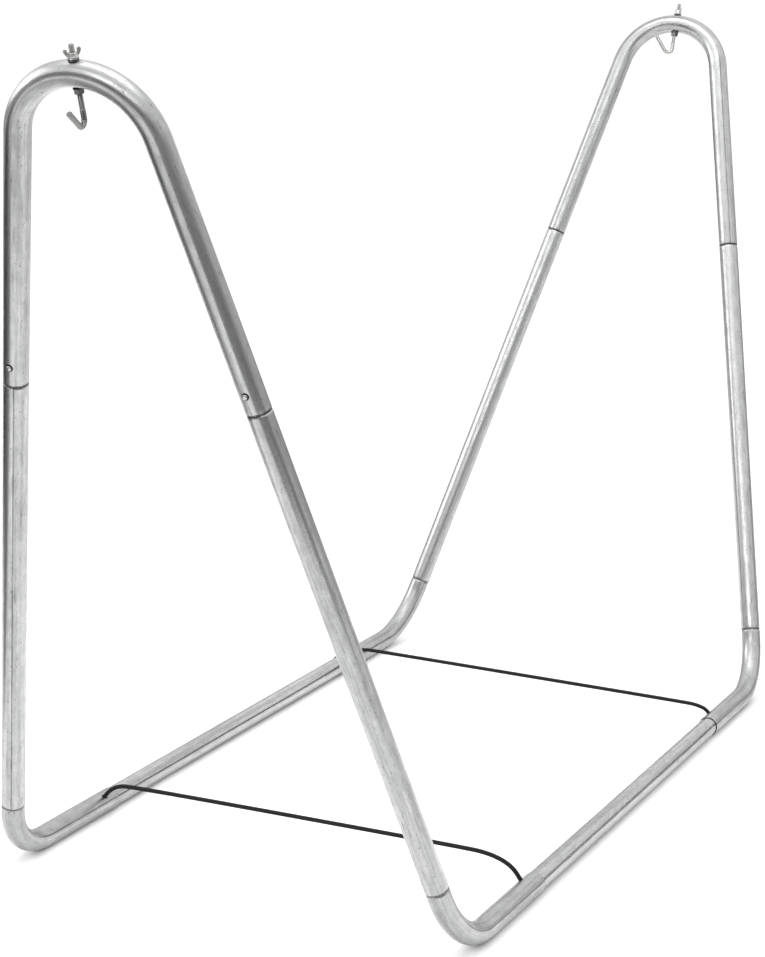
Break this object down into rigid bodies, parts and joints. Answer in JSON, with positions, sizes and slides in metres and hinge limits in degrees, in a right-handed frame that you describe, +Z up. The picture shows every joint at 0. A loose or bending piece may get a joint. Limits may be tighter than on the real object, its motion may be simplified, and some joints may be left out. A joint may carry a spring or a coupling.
{
  "type": "hammock stand",
  "caption": "Knock-down hammock stand of galvanised steel tube: splayed, outward-leaning end arches on floor rails, adjustable hooks at the tops and tie cords across the base.",
  "frame": {"origin": "on the floor at the middle of the stand: the centre of the base of its bounding box", "axes": "+X along the floor rails towards the rear end, +Y to the left, +Z up; the front end is at -X"},
  "size_m": [2.5039, 0.838, 1.376],
  "materials": {
    "galvanised_steel": "galvanised, satin",
    "zinc_hardware": "zinc plated",
    "plated_button": "nickel plated",
    "spring_steel": "bare",
    "crimp_sleeve": "matt",
    "black_cord": "braided"
  },
  "bodies": {
    "floor_rails": {"left_rail": "galvanised_steel", "right_rail": "galvanised_steel"},
    "front_frame": {"front_arch": "galvanised_steel", "front_left_leg": "galvanised_steel", "front_left_corner_bend": "galvanised_steel", "front_left_spring_clip": "spring_steel", "front_left_cord_stop": "crimp_sleeve", "front_right_leg": "galvanised_steel", "front_right_corner_bend": "galvanised_steel", "front_right_spring_clip": "spring_steel", "front_right_cord_stop": "crimp_sleeve", "front_tie_cord": "black_cord", "front_upper_washer": "zinc_hardware"},
    "front_lock_nut": {"front_hex_nut": "zinc_hardware", "front_lower_washer": "zinc_hardware"},
    "front_hook": {"front_hook": "zinc_hardware"},
    "front_wing_nut": {"front_wing_nut": "zinc_hardware"},
    "front_left_button": {"front_left_button": "plated_button"},
    "front_right_button": {"front_right_button": "plated_button"},
    "rear_frame": {"rear_arch": "galvanised_steel", "rear_left_leg": "galvanised_steel", "rear_left_corner_bend": "galvanised_steel", "rear_left_spring_clip": "spring_steel", "rear_left_cord_stop": "crimp_sleeve", "rear_right_leg": "galvanised_steel", "rear_right_corner_bend": "galvanised_steel", "rear_right_spring_clip": "spring_steel", "rear_right_cord_stop": "crimp_sleeve", "rear_tie_cord": "black_cord", "rear_upper_washer": "zinc_hardware"},
    "rear_lock_nut": {"rear_hex_nut": "zinc_hardware", "rear_lower_washer": "zinc_hardware"},
    "rear_hook": {"rear_hook": "zinc_hardware"},
    "rear_wing_nut": {"rear_wing_nut": "zinc_hardware"},
    "rear_left_button": {"rear_left_button": "plated_button"},
    "rear_right_button": {"rear_right_button": "plated_button"}
  },
  "joints": [
    {"name": "front_frame_pull", "type": "slide", "parent": "floor_rails", "child": "front_frame", "axis": [-1, 0, 0], "range_m": [0, 0.04]},
    {"name": "front_wing_turn", "type": "hinge", "parent": "front_frame", "child": "front_wing_nut", "pos_m": [-1.22996, 0, 1.33245], "axis": [-0.3305, 0, 0.9438], "range_deg": [0, 2304]},
    {"name": "front_hook_lower", "type": "slide", "parent": "front_frame", "child": "front_lock_nut", "axis": [0.3305, 0, -0.9438], "range_m": [0, 0.008]},
    {"name": "front_hook_swivel", "type": "hinge", "parent": "front_lock_nut", "child": "front_hook", "pos_m": [-1.22996, 0, 1.33245], "axis": [-0.3305, 0, 0.9438], "continuous": true},
    {"name": "front_left_button_press", "type": "slide", "parent": "front_frame", "child": "front_left_button", "axis": [0.9438, 0, 0.3305], "range_m": [0, 0.005], "stiffness_N_per_m": 1500, "springref_m": -0.003, "deforming": ["front_left_spring_clip"]},
    {"name": "front_right_button_press", "type": "slide", "parent": "front_frame", "child": "front_right_button", "axis": [0.9438, 0, 0.3305], "range_m": [0, 0.005], "stiffness_N_per_m": 1500, "springref_m": -0.003, "deforming": ["front_right_spring_clip"]},
    {"name": "rear_frame_pull", "type": "slide", "parent": "floor_rails", "child": "rear_frame", "axis": [1, 0, 0], "range_m": [0, 0.04]},
    {"name": "rear_wing_turn", "type": "hinge", "parent": "rear_frame", "child": "rear_wing_nut", "pos_m": [1.22996, 0, 1.33245], "axis": [0.3305, 0, 0.9438], "range_deg": [0, 2304]},
    {"name": "rear_hook_lower", "type": "slide", "parent": "rear_frame", "child": "rear_lock_nut", "axis": [-0.3305, 0, -0.9438], "range_m": [0, 0.008]},
    {"name": "rear_hook_swivel", "type": "hinge", "parent": "rear_lock_nut", "child": "rear_hook", "pos_m": [1.22996, 0, 1.33245], "axis": [0.3305, 0, 0.9438], "continuous": true},
    {"name": "rear_left_button_press", "type": "slide", "parent": "rear_frame", "child": "rear_left_button", "axis": [-0.9438, 0, 0.3305], "range_m": [0, 0.005], "stiffness_N_per_m": 1500, "springref_m": -0.003, "deforming": ["rear_left_spring_clip"]},
    {"name": "rear_right_button_press", "type": "slide", "parent": "rear_frame", "child": "rear_right_button", "axis": [-0.9438, 0, 0.3305], "range_m": [0, 0.005], "stiffness_N_per_m": 1500, "springref_m": -0.003, "deforming": ["rear_right_spring_clip"]}
  ],
  "couplings": [
    {"joint": "front_hook_lower", "follows": "front_wing_turn", "m_per_rad": 0.00019894},
    {"joint": "rear_hook_lower", "follows": "rear_wing_turn", "m_per_rad": 0.00019894}
  ]
}
